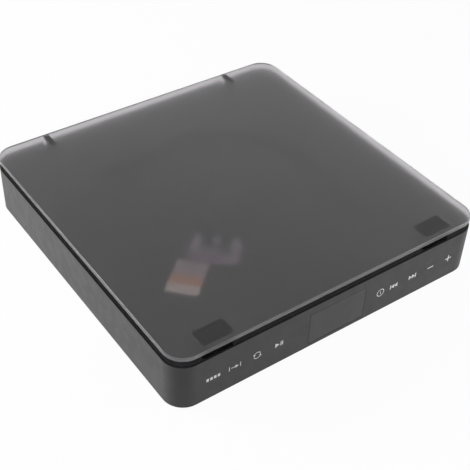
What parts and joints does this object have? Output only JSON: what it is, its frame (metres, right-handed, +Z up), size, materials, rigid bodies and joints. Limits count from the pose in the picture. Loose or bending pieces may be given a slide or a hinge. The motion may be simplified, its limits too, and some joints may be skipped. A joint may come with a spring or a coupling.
{
  "type": "disc player",
  "caption": "Square flat disc player that loads from the top, with a frosted smoke lid on rear hinge arms, touch keys and a display window in front.",
  "frame": {"origin": "centre of the footprint on the surface the feet stand on", "axes": "+Z up, +Y to the rear with the sockets and the lid hinge, +X to the right seen from the front"},
  "size_m": [0.2, 0.2, 0.0368],
  "materials": {
    "case_grey": "fine-textured matt",
    "deck_black": "high gloss",
    "cover_black": "textured matt",
    "lid_smoke": "frosted smoke acrylic",
    "window_smoke": "satin",
    "arm_black": "satin",
    "bracket_black": "matt",
    "pad_rubber": "matt",
    "damper_rubber": "matt",
    "mat_rubber": "matt",
    "touch_foam": "matt",
    "bright_steel": "ground",
    "screw_steel": "plated",
    "plate_steel": "plated",
    "socket_metal": "plated",
    "magnet": "plated",
    "socket_black": "semi-gloss",
    "board_green": "solder mask",
    "chip_grey": "anodised",
    "print_white": "printed ink",
    "connector_white": "matt",
    "display_dark": "gloss",
    "chassis_black": "matt",
    "coil_copper": "enamelled wire",
    "table_black": "semi-gloss",
    "jaw_white": "semi-gloss",
    "sled_metal": "die cast",
    "pinion_brass": "machined",
    "holder_black": "matt",
    "lens_glass": "coated"
  },
  "bodies": {
    "case": {"av_jack": "socket_black", "board_screws": "screw_steel", "bottom_cover": "cover_black", "capacitors": "chip_grey", "case_screws": "screw_steel", "catch_plates": "plate_steel", "damper_grommets": "damper_rubber", "damper_screws": "screw_steel", "display_module": "display_dark", "display_window": "window_smoke", "feed_motor": "bright_steel", "feet": "pad_rubber", "front_ribbon": "connector_white", "gear_axle": "bright_steel", "gear_clip": "bright_steel", "guide_rod_main": "bright_steel", "guide_rod_side": "bright_steel", "hinge_bracket_left": "bracket_black", "hinge_bracket_right": "bracket_black", "hinge_pin_left": "bright_steel", "hinge_pin_right": "bright_steel", "hinge_screws": "screw_steel", "key_board": "board_green", "lid_sensor": "display_dark", "main_board": "board_green", "mechanism_screws": "screw_steel", "motor_ribbon": "connector_white", "power_inlet": "socket_black", "processor": "chip_grey", "ribbon_connectors": "connector_white", "spindle_base": "plate_steel", "spindle_coils": "coil_copper", "top_deck": "deck_black", "touch_pads": "touch_foam", "traverse_chassis": "chassis_black", "upper_case": "case_grey", "usb_socket": "socket_metal", "video_socket": "socket_metal"},
    "lid": {"lid_panel": "lid_smoke", "lid_magnets": "magnet", "hinge_arm_left": "arm_black", "hinge_arm_right": "arm_black", "lid_pad_left": "pad_rubber", "lid_pad_right": "pad_rubber"},
    "spindle": {"spindle_rotor": "bright_steel", "turntable": "table_black", "turntable_mat": "mat_rubber", "hub_cap": "table_black", "jaw_spring": "bright_steel"},
    "jaw_a": {"clamp_jaw_a": "jaw_white"},
    "jaw_b": {"clamp_jaw_b": "jaw_white"},
    "jaw_c": {"clamp_jaw_c": "jaw_white"},
    "sled": {"pickup_sled": "sled_metal", "sled_rack": "jaw_white", "lens_yoke": "plate_steel"},
    "lens": {"lens_holder": "holder_black", "objective_lens": "lens_glass"},
    "step_gear": {"feed_gear": "jaw_white"},
    "feed_pinion": {"motor_pinion": "pinion_brass"}
  },
  "joints": [
    {"name": "lid_hinge", "type": "hinge", "parent": "case", "child": "lid", "pos_m": [0, 0.094, 0.0215], "axis": [-1, 0, 0], "range_deg": [0, 95]},
    {"name": "spindle_spin", "type": "hinge", "parent": "case", "child": "spindle", "pos_m": [0, 0, 0.0258], "axis": [0, 0, 1], "continuous": true},
    {"name": "sled_slide", "type": "slide", "parent": "case", "child": "sled", "axis": [-0.7071, -0.7071, 0], "range_m": [-0.014, 0.0205]},
    {"name": "lens_focus", "type": "slide", "parent": "sled", "child": "lens", "axis": [0, 0, 1], "range_m": [-0.0004, 0.0004], "stiffness_N_per_m": 80},
    {"name": "step_gear_spin", "type": "hinge", "parent": "case", "child": "step_gear", "pos_m": [-0.04893, -0.00764, 0.0204], "axis": [0, 0, 1], "range_deg": [-331.3, 227.8]},
    {"name": "feed_pinion_spin", "type": "hinge", "parent": "case", "child": "feed_pinion", "pos_m": [-0.06144, -0.01347, 0.0204], "axis": [0, 0, 1], "range_deg": [-807.1, 1179.6]},
    {"name": "jaw_a_press", "type": "slide", "parent": "spindle", "child": "jaw_a", "axis": [-1, 0, 0], "range_m": [0, 0.0007], "stiffness_N_per_m": 60, "springref_m": -0.0005},
    {"name": "jaw_b_press", "type": "slide", "parent": "spindle", "child": "jaw_b", "axis": [0.5, -0.866, 0], "range_m": [0, 0.0007], "stiffness_N_per_m": 60, "springref_m": -0.0005},
    {"name": "jaw_c_press", "type": "slide", "parent": "spindle", "child": "jaw_c", "axis": [0.5, 0.866, 0], "range_m": [0, 0.0007], "stiffness_N_per_m": 60, "springref_m": -0.0005}
  ],
  "couplings": [
    {"joint": "step_gear_spin", "follows": "sled_slide", "rad_per_m": -277.78},
    {"joint": "feed_pinion_spin", "follows": "sled_slide", "rad_per_m": 1000}
  ]
}
